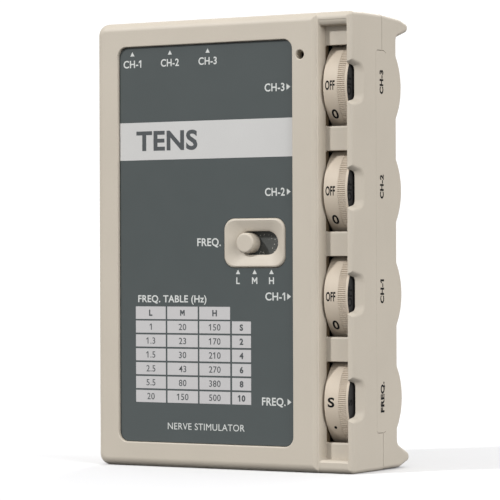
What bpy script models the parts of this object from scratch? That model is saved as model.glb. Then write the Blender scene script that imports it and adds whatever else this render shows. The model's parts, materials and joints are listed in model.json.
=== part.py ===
"""Pocket nerve stimulator with three output channels, built as an assembly.

Dimensions are in millimetres.  X runs to the right across the front, Y runs backwards from
the plane of the front face, and Z runs up from the underside.  point() turns them into
metres and puts the middle of the whole depth at Y = 0.
"""
import math

import bmesh
import bpy
from mathutils import Vector

MM = 0.001
GAP = 0.3                       # clearance between pieces that touch

# Case
WIDTH = 77.0
HEIGHT = 117.0                  # at the front
CROWN = 0.35                    # the top swells this much towards its middle
TOP = HEIGHT + CROWN
HALF = WIDTH / 2
KNOB_FRONT = -0.5               # the switch knob stands this far in front of the face
FOOT_BACK = 32.0                # the rear feet end here
MID_DEPTH = (KNOB_FRONT + FOOT_BACK) / 2
PARTING = 17.3                  # where the two shells meet
CORNER = 3.0                    # left corners of the case, seen from the front
RIGHT_CORNER = 1.1              # its right corners, and all edges of the rear shell's right side
CORNERS = (CORNER, RIGHT_CORNER, RIGHT_CORNER, CORNER)
WALL = 1.8
SIDE_WALL = 1.4                 # right wall, beside the wheels
SIDE_INSIDE = HALF - SIDE_WALL
FACE_INSIDE = 3.1
BACK = 25.6                     # flat part of the back
BACK_INSIDE = BACK - WALL
INNER_CORNER = 1.2
TONGUE_FRONT = 14.0             # the rear shell's tongue in the right wall starts here
TONGUE_ENDS = (9.6, 108.0)

# Front face
FACE_RIGHT = 28.9
FACE_ROUND = 2.3
STEP_ROUND = 1.2
SHOULDER = 0.8                  # the zone right of the face lies this much lower
SHOULDER_ROUND = 1.6
LABEL = (-31.6, 21.7, 6.4, 110.5)
LABEL_CORNER = 2.6
LABEL_FRONT = 0.8
LABEL_THICK = 0.4
RECESS_FLOOR = LABEL_FRONT + LABEL_THICK + GAP
LED_AT = (24.05, 106.4)

# Slide switch
BEZEL = (1.0, 19.2, 52.2, 64.9)
BEZEL_FRONT = 0.3
DISH_EDGE = 1.37
SWITCH_Z = 58.55
SLOT = (4.85, 16.75)
SLOT_HIGH = 6.1
KNOB_X = 7.75
KNOB_RADIUS = 2.65
KNOB_TRAVEL = 6.0
LEVER = (1.0, 1.5)              # half its width and half its height
SHIELD = (9.6, 4.4)
SWITCH_BODY = (6.9, 3.35)
SWITCH_FRONT = 5.0

# Thumbwheels
WHEEL_NAMES = ("freq", "ch1", "ch2", "ch3")
WHEEL_PITCH = 26.8
WHEEL_FIRST = 18.0
WHEEL_Z = {name: WHEEL_FIRST + WHEEL_PITCH * i for i, name in enumerate(WHEEL_NAMES)}
WHEEL_Y = 14.3
WHEEL_RADIUS = 12.8
WHEEL = (29.9, 36.8)
WHEEL_FACE = 36.5
GROOVE = (29.6, 37.0)
GROOVE_FLOOR = 3.5
GROOVE_INSIDE = 5.1
WINDOW_HIGH = 20.5
WINDOW_ROUND = 0.45
NOTCH_ABOVE = 0.65              # the notches sit slightly above the wheel centres
NOTCH_FLARE = 0.225             # how fast they widen towards the front
WHEEL_LIP = 12.3
WHEEL_BORE = 2.35
SCREW_WELL = (34.6, 3.1)        # level and radius of the well for a wheel's screw
HOUSING_LEFT = 26.4
HOUSING_RADIUS = 12.9
HOUSING_Y = 15.5                # the humps are flatter than the wheels, with centres further back
HOUSING_ABOVE = 0.45            # and slightly above the wheel centres
HOUSING_EDGE = 1.1
HOUSING_ENDS = (4.5, 114.0)
HOUSING_BLEND = 0.35
WELL_RADIUS = 13.1
POT_RADIUS = 5.2

# Board and the parts on it
BOARD = (9.0, 10.6)
BOARD_FRONT, BOARD_BACK = BOARD
MOUNTED = BOARD_BACK + GAP
JACKS_X = (-27.4, -15.65, -4.0)
JACK_Y = 13.6
JACK_BORE = 1.75
JACK_COLLAR = 2.3
JACK_HOLE = 2.65
CASE_SCREWS = ((-2.2, 13.0), (-33.2, 104.0), (24.2, 31.4), (24.2, 85.0))
BOARD_SCREWS = ((-33.0, 71.0), (8.0, 7.0))
POST = 2.3
SCREW_SEAT = 20.5               # the case screws' heads rest here
HEAD_HOLE = 2.6
TRANSFORMER_Z = (85.0, 90.0)
CAPACITOR_Z = 75.5
CAPACITOR_RADIUS = 3.1

# Battery and its bay
BATTERY = (-35.2, -8.7, 5.3, 22.8, 10.5, 56.9)
BAY_SIDE = (-8.3, -7.3)
BAY_BOTTOM = (9.0, 10.0)
COVER = (-34.7, -8.7, 13.0, 63.0)
COVER_FRONT = 24.0
COVER_PIVOT = (25.3, 13.4)
STUDS = ((-28.3, 2.9), (-15.6, 4.0))
STUD_HIGH = 2.1
SNAP_THICK = 2.8
WIRE_RADIUS = 0.6
LEADS = (                       # name, material, and the three points that its curve follows
    ("snap_lead_red", "red_wire", (-13.0, 14.0, 62.4), (-13.0, 13.5, 70.0), (-4.5, 11.5, 68.0)),
    ("snap_lead_black", "dark_plastic", (-30.0, 14.0, 62.4), (-28.0, 14.0, 70.0), (-22.5, 11.5, 69.0)),
)

COLOURS = {
    "case_plastic": ((0.60, 0.53, 0.44), 0.55, 0.0),
    "wheel_plastic": ((0.62, 0.56, 0.47), 0.5, 0.0),
    "label_film": ((0.10, 0.12, 0.12), 0.45, 0.0),
    "dark_plastic": ((0.03, 0.03, 0.03), 0.5, 0.0),
    "lens": ((0.05, 0.01, 0.01), 0.1, 0.0),
    "circuit_board": ((0.02, 0.16, 0.06), 0.5, 0.0),
    "steel": ((0.6, 0.6, 0.6), 0.3, 1.0),
    "battery_jacket": ((0.05, 0.05, 0.06), 0.3, 0.3),
    "ferrite": ((0.06, 0.055, 0.05), 0.6, 0.0),
    "capacitor_sleeve": ((0.02, 0.04, 0.12), 0.35, 0.0),
    "red_wire": ((0.5, 0.02, 0.02), 0.5, 0.0),
    "foam": ((0.06, 0.06, 0.06), 0.95, 0.0),
}


# ---------------------------------------------------------------- outlines and solids

def point(x, y, z):
    return Vector((x * MM, (y - MID_DEPTH) * MM, z * MM))


def rect(left, right, low, high):
    """Corners of a rectangle, anticlockwise."""
    return [(left, low), (right, low), (right, high), (left, high)]


def offset(corners, distance):
    """The outline moved inwards by a distance, or outwards when it is negative."""
    moved = []
    for i, corner in enumerate(corners):
        here = Vector(corner)
        along = (here - Vector(corners[i - 1])).normalized()
        onward = (Vector(corners[(i + 1) % len(corners)]) - here).normalized()
        inward = Vector((-along.y, along.x))
        inward_next = Vector((-onward.y, onward.x))
        shift = (inward + inward_next) * (distance / (1 + inward.dot(inward_next)))
        moved.append(tuple(here + shift))
    return moved


def turns_left(corners, i):
    here = Vector(corners[i])
    along = here - Vector(corners[i - 1])
    onward = Vector(corners[(i + 1) % len(corners)]) - here
    return along.x * onward.y - along.y * onward.x > 0


def rounded(corners, radii, inset=0.0, steps=5):
    """An outline with an arc at each corner that has a radius; an inset keeps the arcs concentric."""
    if not isinstance(radii, (list, tuple)):
        radii = [radii] * len(corners)
    moved = offset(corners, inset)
    outline = []
    for i, corner in enumerate(moved):
        if radii[i] == 0:
            outline.append(corner)
            continue
        here = Vector(corner)
        back = (Vector(moved[i - 1]) - here).normalized()
        onward = (Vector(moved[(i + 1) % len(moved)]) - here).normalized()
        radius = radii[i] - inset if turns_left(corners, i) else radii[i] + inset
        radius = max(radius, 0.05)
        half = back.angle(onward) / 2
        centre = here + (back + onward).normalized() * (radius / math.sin(half))
        first = here + back * (radius / math.tan(half)) - centre
        last = here + onward * (radius / math.tan(half)) - centre
        swing = first.angle(last)
        for step in range(steps + 1):
            t = step / steps
            arm = first * math.sin((1 - t) * swing) + last * math.sin(t * swing)
            outline.append(tuple(centre + arm / math.sin(swing)))
    return outline


def circle(u, v, radius, count):
    turn = 2 * math.pi / count
    return [(u + radius * math.cos(i * turn), v + radius * math.sin(i * turn)) for i in range(count)]


def place(axis, level, outline):
    """Stand an outline across an axis at a level: (Y, Z), (X, Z) or (X, Y)."""
    if axis == "x":
        return [point(level, u, v) for u, v in outline]
    if axis == "y":
        return [point(u, level, v) for u, v in outline]
    return [point(u, v, level) for u, v in outline]


def pile(rings, ring_shaped=False):
    """Join equal rings of points into one closed solid."""
    bm = bmesh.new()
    loops = [[bm.verts.new(p) for p in ring] for ring in rings]
    pairs = list(zip(loops, loops[1:]))
    if ring_shaped:
        pairs.append((loops[-1], loops[0]))
    else:
        bm.faces.new(loops[0])
        bm.faces.new(loops[-1])
    for lower, upper in pairs:
        for i in range(len(lower)):
            bm.faces.new((lower[i - 1], lower[i], upper[i], upper[i - 1]))
    bmesh.ops.recalc_face_normals(bm, faces=bm.faces)
    return bm


def edge_depths(radius, steps=4):
    """Depths at which an edge of this radius is drawn, from its face inwards."""
    return [radius * (1 - math.cos(math.pi / 2 * i / steps)) for i in range(steps + 1)]


def edge_inset(radius, depth):
    """How far inside the wall a rounded edge lies at a depth below its face."""
    if depth >= radius:
        return 0.0
    return radius - math.sqrt(radius ** 2 - (radius - depth) ** 2)


def prism(axis, low, high, corners, radii=0.0, low_edge=0.0, high_edge=0.0, steps=5):
    """An outline drawn out along an axis, with its two end edges rounded."""
    levels = [(low, edge_inset(low_edge, 0))]
    if low_edge:
        levels = [(low + d, edge_inset(low_edge, d)) for d in edge_depths(low_edge)]
    ends = [(high, 0.0)]
    if high_edge:
        ends = [(high - d, edge_inset(high_edge, d)) for d in reversed(edge_depths(high_edge))]
    rings = [place(axis, level, rounded(corners, radii, inset, steps)) for level, inset in levels + ends]
    return pile(rings)


def turned(axis, centre, profile, count=24, bored=False):
    """A turned piece: (level, radius) pairs along an axis; a bored profile closes on itself."""
    rings = [place(axis, level, circle(*centre, radius, count)) for level, radius in profile]
    return pile(rings, bored)


# ---------------------------------------------------------------- objects

def material(name):
    if name in bpy.data.materials:
        return bpy.data.materials[name]
    colour, roughness, metallic = COLOURS[name]
    made = bpy.data.materials.new(name)
    made.use_nodes = True
    shader = made.node_tree.nodes["Principled BSDF"]
    shader.inputs["Base Color"].default_value = (*colour, 1)
    shader.inputs["Roughness"].default_value = roughness
    shader.inputs["Metallic"].default_value = metallic
    return made


def add(name, bm, material_name, origin=None):
    """Turn a bmesh into a named object whose origin sits at a point of the design."""
    centre = point(0, MID_DEPTH, 0) if origin is None else point(*origin)
    bmesh.ops.translate(bm, verts=bm.verts, vec=-centre)
    mesh = bpy.data.meshes.new(name)
    bm.to_mesh(mesh)
    bm.free()
    mesh.shade_smooth()
    mesh.set_sharp_from_angle(angle=math.radians(35))
    made = bpy.data.objects.new(name, mesh)
    made.location = centre
    if material_name:
        mesh.materials.append(material(material_name))
    bpy.context.scene.collection.objects.link(made)
    return made


def change(target, operation, tools):
    """Join tools to a piece, cut them out of it or keep what they share, in one Boolean."""
    group = bpy.data.collections.new(target.name + "_" + operation.lower())
    for i, bm in enumerate(tools):
        guide = add(f"{group.name}_{i}", bm, None)
        guide.hide_render = True
        guide.display_type = "WIRE"
        group.objects.link(guide)
    modifier = target.modifiers.new(operation.lower(), "BOOLEAN")
    modifier.operation = operation
    modifier.solver = "EXACT"
    modifier.operand_type = "COLLECTION"
    modifier.collection = group


def block(x, y, z, edge=0.0, corner=0.0, steps=2):
    """A box whose outline, seen from the front, has round corners."""
    return prism("y", *y, rect(*x, *z), corner, edge, edge, steps)


# ---------------------------------------------------------------- front shell

def face_block():
    """The raised face: round outer edges, and a smaller round on its right edge."""
    rings = []
    corners = (CORNER, 1.0, 1.0, CORNER)
    for depth in edge_depths(FACE_ROUND, 6) + [FACE_INSIDE + 0.6]:
        outer = edge_inset(FACE_ROUND, depth)
        right = edge_inset(STEP_ROUND, depth)
        frame = rect(outer - HALF, FACE_RIGHT - right, outer, HEIGHT - outer)
        radii = [max(radius - outer, 0.2) for radius in corners]
        rings.append(place("y", depth, rounded(frame, radii)))
    return pile(rings)


def groove():
    """The channel that the wheels stand in, with upright ends and a steep left wall."""
    levels = (
        (-1.0, 28.95, 37.5, 2.6, 115.4),
        (SHOULDER - 0.1, 28.95, 37.4, 2.7, 115.2),
        (1.0, 29.0, 37.2, 3.0, 114.5),
        (1.4, 29.12, 37.1, 3.35, 113.85),
        (1.9, 29.25, 37.05, 3.45, 113.65),
        (GROOVE_FLOOR, *GROOVE, 3.5, 113.6),
    )
    return pile([place("y", y, rounded(rect(*frame), 0.4, steps=3)) for y, *frame in levels])


def window(z):
    """The opening in front of one wheel, with a soft upper and lower edge."""
    left, right = GROOVE[0] + 0.02, SIDE_INSIDE - 0.01
    half = WINDOW_HIGH / 2
    rings = []
    for depth in [-0.6] + edge_depths(WINDOW_ROUND) + [GROOVE_INSIDE - GROOVE_FLOOR + 0.5]:
        spread = edge_inset(WINDOW_ROUND, max(depth, 0))
        frame = rect(left, right, z - half - spread, z + half + spread)
        rings.append(place("y", GROOVE_FLOOR + depth, rounded(frame, 0.2, steps=2)))
    return pile(rings)


def notch(z):
    """The finger notch through the rib, and the shallow scoop behind it."""
    levels = (
        (SIDE_INSIDE - 0.8, 5.0, 4.1, 1.3),
        (SIDE_INSIDE, 5.05, 4.1, 1.3),
        (SIDE_INSIDE + 0.3, 5.6, 4.15, 1.6),
        (SIDE_INSIDE + 0.6, 6.25, 4.2, 1.9),
        (SIDE_INSIDE + 0.9, 6.9, 4.3, 2.2),
        (SIDE_INSIDE + 1.2, 7.5, 4.5, 2.5),
        (HALF, 8.0, 4.85, 2.8),
        (HALF + 1.0, 9.5, 6.0, 3.4),
    )
    rings = []
    for x, rear, half, radius in levels:
        mouth = half + (rear + 2.0) * NOTCH_FLARE
        corners = [(-2.0, z - mouth), (rear, z - half), (rear, z + half), (-2.0, z + mouth)]
        rings.append(place("x", x, rounded(corners, (0, radius, radius, 0), steps=5)))
    return pile(rings)


def switch_dish():
    """The dished mouth of the switch bezel, running down to the slot."""
    half = SLOT_HIGH / 2
    slot = (SLOT[0], SLOT[1], SWITCH_Z - half, SWITCH_Z + half)
    grow = ((BEZEL_FRONT - 0.6, 2.6), (BEZEL_FRONT, 2.1), (0.75, 1.3), (1.15, 0.45), (DISH_EDGE, 0.0))
    rings = []
    for y, spread in grow:
        frame = rect(slot[0] - spread * 1.1, slot[1] + spread * 0.35, slot[2] - spread, slot[3] + spread)
        rings.append(place("y", y, rounded(frame, half, steps=6)))
    rings.append(place("y", FACE_INSIDE + 1.0, rounded(rect(*slot), half - 0.01, steps=6)))
    return pile(rings)


def screw_post(x, z, low, high, radius=POST):
    return turned("y", (x, z), ((low, radius), (high, radius)), 16)


def pilot_hole(x, z, low, high, radius=1.3):
    return turned("y", (x, z), ((low, radius), (high, radius)), 10)


def crown(y):
    """How far the top stands above its front edge at a depth: a slow rise that ends level."""
    return CROWN * math.sin(math.pi / 2 * min(max((y - 1.0) / 13.0, 0.0), 1.0))


def front_body():
    """The outer block of the front shell, with round front edges and its top swelling."""
    levels = [(SHOULDER + d, edge_inset(SHOULDER_ROUND, d)) for d in edge_depths(SHOULDER_ROUND)]
    levels += [(y, 0.0) for y in (5, 8, 11, 14, PARTING - GAP / 2)]
    rings = []
    for y, inset in levels:
        outline = rect(-HALF, HALF, 0, HEIGHT + crown(y))
        rings.append(place("y", y, rounded(outline, CORNERS, inset)))
    return pile(rings)


def front_shell():
    front = PARTING - GAP / 2
    shell = add("front_shell", front_body(), "case_plastic")
    change(shell, "UNION", [face_block()])
    inside = (WALL, HEIGHT - WALL)
    inside_right = (WALL + 0.01, HEIGHT - WALL - 0.01)
    hollow_left = block((WALL - HALF, FACE_RIGHT - 0.6), (FACE_INSIDE, 30), inside, 0, INNER_CORNER)
    hollow_right = block((20, SIDE_INSIDE), (GROOVE_INSIDE, 31), inside_right, 0, INNER_CORNER)
    recess = prism("y", -1, RECESS_FLOOR, rect(*LABEL), LABEL_CORNER)
    change(shell, "DIFFERENCE", [hollow_left, hollow_right, recess, groove()])
    bezel = prism("y", BEZEL_FRONT, FACE_INSIDE - 1, rect(*BEZEL), CORNER, 0.6)
    posts = [screw_post(x, z, FACE_INSIDE - 0.5, front) for x, z in CASE_SCREWS]
    posts += [screw_post(x, z, FACE_INSIDE - 0.5, BOARD_FRONT - GAP) for x, z in BOARD_SCREWS]
    change(shell, "UNION", [bezel] + posts)
    cuts = [switch_dish()]
    cuts += [window(z) for z in WHEEL_Z.values()]
    cuts += [notch(z + NOTCH_ABOVE) for z in WHEEL_Z.values()]
    cuts += [pilot_hole(x, z, 7.5, 20) for x, z in CASE_SCREWS]
    cuts += [pilot_hole(x, z, 4.6, 20, 1.1) for x, z in BOARD_SCREWS]
    cuts.append(turned("y", LED_AT, ((-1, 1.4), (0.0, 1.4), (0.25, 1.15), (5, 1.15)), 20))
    holes = ((HEIGHT - 7, JACK_HOLE), (TOP + 1, JACK_HOLE))
    cuts += [turned("z", (x, JACK_Y), holes, 20) for x in JACKS_X]
    mouth = rect(TONGUE_FRONT - GAP / 2, 30, *TONGUE_ENDS)
    cuts.append(prism("x", SIDE_INSIDE - 3, HALF + 2, mouth, 1.0))
    change(shell, "DIFFERENCE", cuts)


# ---------------------------------------------------------------- rear shell

REAR_PROFILE = (                # side view: (Y, Z) and the radius of each corner
    ((12.0, 0.15), 0),
    ((27.0, 0.2), 5.0),
    ((FOOT_BACK, 1.75), 1.1),
    ((FOOT_BACK, 3.7), 1.1),
    ((BACK, 6.5), 1.8),
    ((BACK, 111.75), 1.0),
    ((FOOT_BACK, 113.75), 1.1),
    ((FOOT_BACK, 115.7), 1.1),
    ((27.8, 116.8), 4.0),
    ((18.0, TOP), 8.0),
    ((12.0, TOP), 0),
)


def housing_back(z):
    """Back of the wheel housings at a height: round humps melting into the flat of the back."""
    rise = min((z - HOUSING_ABOVE - centre) ** 2 for centre in WHEEL_Z.values())
    depth = HOUSING_Y + math.sqrt(max(HOUSING_RADIUS ** 2 - rise, 0))
    flat = BACK - 0.05
    mix = max(HOUSING_BLEND - abs(depth - flat), 0) / HOUSING_BLEND
    return max(depth, flat) + mix * mix * HOUSING_BLEND / 4


def housings():
    """The four humps behind the wheels, along the right edge of the back."""
    count = 76
    front = PARTING + 1.2
    bottom, top = HOUSING_ENDS
    heights = [bottom + (top - bottom) * i / count for i in range(count + 1)]
    depths = edge_depths(HOUSING_EDGE, 3)
    levels = [(HOUSING_LEFT + d, edge_inset(HOUSING_EDGE, d)) for d in depths]
    levels += [(HALF - d, edge_inset(HOUSING_EDGE, d)) for d in reversed(depths)]
    rings = []
    for x, inset in levels:
        humps = [(housing_back(z) - inset, z) for z in heights]
        rings.append(place("x", x, [(front, bottom), *humps, (front, top)]))
    return pile(rings)


def rear_shell():
    corners = [corner for corner, radius in REAR_PROFILE]
    radii = [radius for corner, radius in REAR_PROFILE]
    body = prism("x", -HALF - 1, HALF, corners, radii, 0, RIGHT_CORNER, 4)
    shell = add("rear_shell", body, "case_plastic")
    outline = rect(-HALF, HALF + 3, 0, TOP)
    front = PARTING + GAP / 2
    envelope = prism("y", front, FOOT_BACK + 0.02, outline, (CORNER, 0, 0, CORNER), 0, 0.9)
    change(shell, "INTERSECT", [envelope])
    tongue = rect(TONGUE_FRONT + GAP / 2, PARTING + 1.7, TONGUE_ENDS[0] + GAP, TONGUE_ENDS[1] - GAP)
    change(shell, "UNION", [housings(), prism("x", SIDE_INSIDE, HALF, tongue, 0.7)])
    inside = (WALL, HEIGHT - WALL)
    hollow = block((WALL - HALF, SIDE_INSIDE), (12, BACK_INSIDE), inside, 0, INNER_CORNER)
    well = ((HOUSING_LEFT + 1.2, WELL_RADIUS), (SIDE_INSIDE - 0.01, WELL_RADIUS))
    wells = [turned("x", (WHEEL_Y, z), well, 40) for z in WHEEL_Z.values()]
    change(shell, "DIFFERENCE", [hollow] + wells)
    bay_side = block(BAY_SIDE, (6, BACK_INSIDE + 0.5), (BAY_BOTTOM[0], 64))
    bay_bottom = block((WALL + GAP - HALF, BAY_SIDE[1] - 0.2), (6.1, BACK_INSIDE + 0.4), BAY_BOTTOM)
    posts = [screw_post(x, z, front, BACK_INSIDE + 0.6, HEAD_HOLE + 0.9) for x, z in CASE_SCREWS]
    change(shell, "UNION", [bay_side, bay_bottom] + posts)
    cuts = [prism("y", 22.5, 30, offset(rect(*COVER), -GAP), 2.0)]
    cuts += [pilot_hole(x, z, 15, 40, 1.5) for x, z in CASE_SCREWS]
    cuts += [turned("y", (x, z), ((SCREW_SEAT, HEAD_HOLE), (40, HEAD_HOLE)), 20) for x, z in CASE_SCREWS]
    change(shell, "DIFFERENCE", cuts)


# ---------------------------------------------------------------- small outer parts

def label_panel():
    corners = offset(rect(*LABEL), GAP / 2)
    film = prism("y", LABEL_FRONT, LABEL_FRONT + LABEL_THICK, corners, LABEL_CORNER - 0.1)
    panel = add("label_panel", film, "label_film")
    change(panel, "DIFFERENCE", [prism("y", 0, 3, offset(rect(*BEZEL), -GAP / 2), CORNER + 0.1)])


def power_led():
    lens, collar = 0.85, 1.45
    profile = ((1.0, 0.35), (1.12, 0.65), (1.4, lens), (3.5, lens))
    profile += ((3.5001, collar), (BOARD_FRONT - GAP, collar))
    add("power_led", turned("y", LED_AT, profile, 18), "lens")


def switch_frame(x, size):
    """A rectangle centred on the switch's line at x, from half its width and half its height."""
    return rect(x - size[0], x + size[0], SWITCH_Z - size[1], SWITCH_Z + size[1])


def switch_parts():
    origin = (KNOB_X, LABEL_FRONT, SWITCH_Z)
    edge = 0.7
    profile = [(KNOB_FRONT + d, KNOB_RADIUS - edge_inset(edge, d)) for d in edge_depths(edge, 4)]
    profile.append((FACE_INSIDE, KNOB_RADIUS))
    knob = add("switch_knob", turned("y", (KNOB_X, SWITCH_Z), profile, 32), "case_plastic", origin)
    lever = switch_frame(KNOB_X, LEVER)
    pocket = offset(lever, -GAP)
    change(knob, "DIFFERENCE", [prism("y", 0.9, 5, pocket)])
    add("switch_lever", prism("y", 0.9 + GAP, 7.4, lever), "dark_plastic", origin)
    front = FACE_INSIDE + GAP
    plate = prism("y", front, front + 0.4, switch_frame(KNOB_X, SHIELD), 0.5)
    shield = add("switch_dust_shield", plate, "dark_plastic", origin)
    change(shield, "DIFFERENCE", [prism("y", 2, 5, pocket)])
    middle = KNOB_X + KNOB_TRAVEL / 2
    housing = prism("y", SWITCH_FRONT, BOARD_FRONT - GAP, switch_frame(middle, SWITCH_BODY))
    body = add("switch_body", housing, "steel")
    room = (LEVER[0] + KNOB_TRAVEL / 2 + 0.4, LEVER[1] + GAP)
    change(body, "DIFFERENCE", [prism("y", SWITCH_FRONT - 1, 7.7, switch_frame(middle, room))])


# ---------------------------------------------------------------- thumbwheels

def wheel(name, z):
    """A wheel, its shaft and its screw turn together about one axis along X."""
    left, right = WHEEL
    centre = (WHEEL_Y, z)
    origin = (left, WHEEL_Y, z)
    edge = 0.3
    well, well_radius = SCREW_WELL
    profile = (
        (left, WHEEL_RADIUS - edge), (left + edge, WHEEL_RADIUS),
        (right - edge, WHEEL_RADIUS), (right, WHEEL_RADIUS - edge), (right, WHEEL_LIP),
        (WHEEL_FACE, WHEEL_LIP - 0.2), (WHEEL_FACE, well_radius), (well, well_radius),
        (well, WHEEL_BORE), (left, WHEEL_BORE),
    )
    add("wheel_" + name, turned("x", centre, profile, 44, True), "wheel_plastic", origin)
    shaft = ((29.5, 2.0), (34.3, 2.0), (34.3001, 1.1), (31.0, 1.1))
    add("pot_shaft_" + name, turned("x", centre, shaft, 12), "steel", origin)
    screw = ((31.4, 0.8), (34.9, 0.8), (34.9001, 2.7), (35.5, 2.6), (35.8, 2.0))
    add("wheel_screw_" + name, turned("x", centre, screw, 12), "steel", origin)


def pot(name, z):
    """The variable resistor behind a wheel, with its foot on the back of the board."""
    profile = ((24.0, POT_RADIUS), (28.9, POT_RADIUS), (29.2, POT_RADIUS - 0.3))
    made = add("pot_" + name, turned("x", (WHEEL_Y, z), profile, 18), "dark_plastic")
    change(made, "UNION", [block((17.5, 24.9), (MOUNTED, 15.5), (z - 3.6, z + 3.6))])


# ---------------------------------------------------------------- inner parts

def circuit_board():
    left, bay, groove_side, right = -36.2, BAY_SIDE[1] + 0.7, LABEL[1] - 0.2, 27.6
    low, bay_top, shelf, high = 3.6, 66.0, 104.4, 113.2
    corners = [(bay, low), (groove_side, low), (groove_side, shelf), (right, shelf), (right, high)]
    corners += [(left, high), (left, bay_top), (bay, bay_top)]
    board = add("circuit_board", prism("y", *BOARD, corners, 0.6, steps=2), "circuit_board")
    clear = [pilot_hole(x, z, 5, 15, 2.7) for x, z in CASE_SCREWS[:2]]
    clear += [pilot_hole(x, z, 5, 15, 1.2) for x, z in BOARD_SCREWS]
    change(board, "DIFFERENCE", clear)


def jack(i, x):
    """An output socket: a moulded body behind a round collar in the top wall."""
    made = add(f"jack_ch{i}", block((x - 3, x + 3), (MOUNTED, 16.5), (101.5, 112.6)), "dark_plastic")
    profile = ((111, JACK_COLLAR), (HEIGHT - 0.4, JACK_COLLAR), (HEIGHT - 0.1, JACK_COLLAR - 0.2))
    change(made, "UNION", [turned("z", (x, JACK_Y), profile, 16)])
    change(made, "DIFFERENCE", [turned("z", (x, JACK_Y), ((103, JACK_BORE), (120, JACK_BORE)), 12)])


def board_parts():
    for i, x in enumerate(JACKS_X, 1):
        jack(i, x)
        low, high = TRANSFORMER_Z
        core = add(f"transformer_{i}", block((x - 5, x + 5), (MOUNTED, 19.8), (low, high)), "ferrite")
        coil = block((x - 3.2, x + 3.2), (MOUNTED + 1, 18.8), (low - 2, high + 2), 0, 1.0)
        change(core, "UNION", [coil])
        can = ((MOUNTED, CAPACITOR_RADIUS), (19.7, CAPACITOR_RADIUS), (20, CAPACITOR_RADIUS - 0.3))
        add(f"capacitor_{i}", turned("y", (x, CAPACITOR_Z), can, 14), "capacitor_sleeve")
    add("microcontroller", block((-1, 11), (MOUNTED, 12.8), (30, 42)), "dark_plastic")


def battery():
    left, right, front, back, low, high = BATTERY
    jacket = prism("z", low, high, rect(left, right, front, back), 2.0, 0.4, 0.4, 3)
    cell = add("battery", jacket, "battery_jacket")
    middle = (front + back) / 2
    top = high + STUD_HIGH
    studs = [turned("z", (x, middle), ((high - 1, radius), (top, radius)), 18) for x, radius in STUDS]
    change(cell, "UNION", studs)
    snap = rect(left + 1.5, right - 1.5, middle - 6, middle + 6)
    clip = prism("z", top + GAP, top + GAP + SNAP_THICK, snap, 3.0, 0.4, 0.6, 3)
    add("battery_snap", clip, "dark_plastic")


def wire(name, start, middle, end, material_name):
    """A flexible lead along one smooth curve, from the snap to the board."""
    curve = bpy.data.curves.new(name, "CURVE")
    curve.dimensions = "3D"
    curve.bevel_depth = WIRE_RADIUS * MM
    curve.bevel_resolution = 2
    curve.use_fill_caps = True
    curve.materials.append(material(material_name))
    count = 9
    spline = curve.splines.new("POLY")
    spline.points.add(count)
    for i, knot in enumerate(spline.points):
        t = i / count
        path = point(*start) * (1 - t) ** 2 + point(*middle) * 2 * t * (1 - t) + point(*end) * t * t
        knot.co = (*path, 1)
    made = bpy.data.objects.new(name, curve)
    bpy.context.scene.collection.objects.link(made)


def screw(name, x, z, head, tip, radius, head_radius):
    """A pan-head screw driven in from the back."""
    profile = ((tip, radius * 0.6), (tip + 0.8, radius), (head, radius), (head + 0.0001, head_radius))
    profile += ((head + 0.7, head_radius), (head + 1.3, head_radius * 0.7))
    add(name, turned("y", (x, z), profile, 12), "steel")


def screws():
    for i, (x, z) in enumerate(CASE_SCREWS, 1):
        screw(f"case_screw_{i}", x, z, SCREW_SEAT + GAP, 9.0, 1.0, 2.2)
    for i, (x, z) in enumerate(BOARD_SCREWS, 1):
        screw(f"board_screw_{i}", x, z, MOUNTED, 5.2, 0.8, 1.9)


def battery_cover():
    """The door of the battery bay hinges on its lower edge."""
    left, right, low, high = COVER
    origin = ((left + right) / 2, *COVER_PIVOT)
    cover = prism("y", COVER_FRONT, BACK, rect(left, right, low, high), 1.7, 0.3, 0.5)
    made = add("battery_cover", cover, "case_plastic", origin)
    dent = ((BACK - 0.8, 3.2), (BACK - 0.5, 4.3), (BACK, 5.2), (BACK + 1, 7))
    change(made, "DIFFERENCE", [turned("y", (origin[0], high - 7), dent, 20)])
    pad = block((left + 4, right - 4), (COVER_FRONT - GAP - 0.7, COVER_FRONT - GAP), (low + 5, high - 12))
    add("foam_pad", pad, "foam", origin)


def main():
    for old in list(bpy.data.objects):
        bpy.data.objects.remove(old, do_unlink=True)
    front_shell()
    rear_shell()
    battery_cover()
    label_panel()
    power_led()
    switch_parts()
    for name, z in WHEEL_Z.items():
        wheel(name, z)
        pot(name, z)
    circuit_board()
    board_parts()
    battery()
    for name, material_name, *route in LEADS:
        wire(name, *route, material_name)
    screws()


main()
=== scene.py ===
"""Looks of a pocket nerve stimulator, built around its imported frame.

Sizes are in millimetres.  X runs to the right across the front, Y runs backwards from the plane
of the front face, and Z runs up from the underside.  point() turns them into the frame's metres.
"""
import json
import math

import bmesh
import bpy
from mathutils import Matrix, Vector


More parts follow.
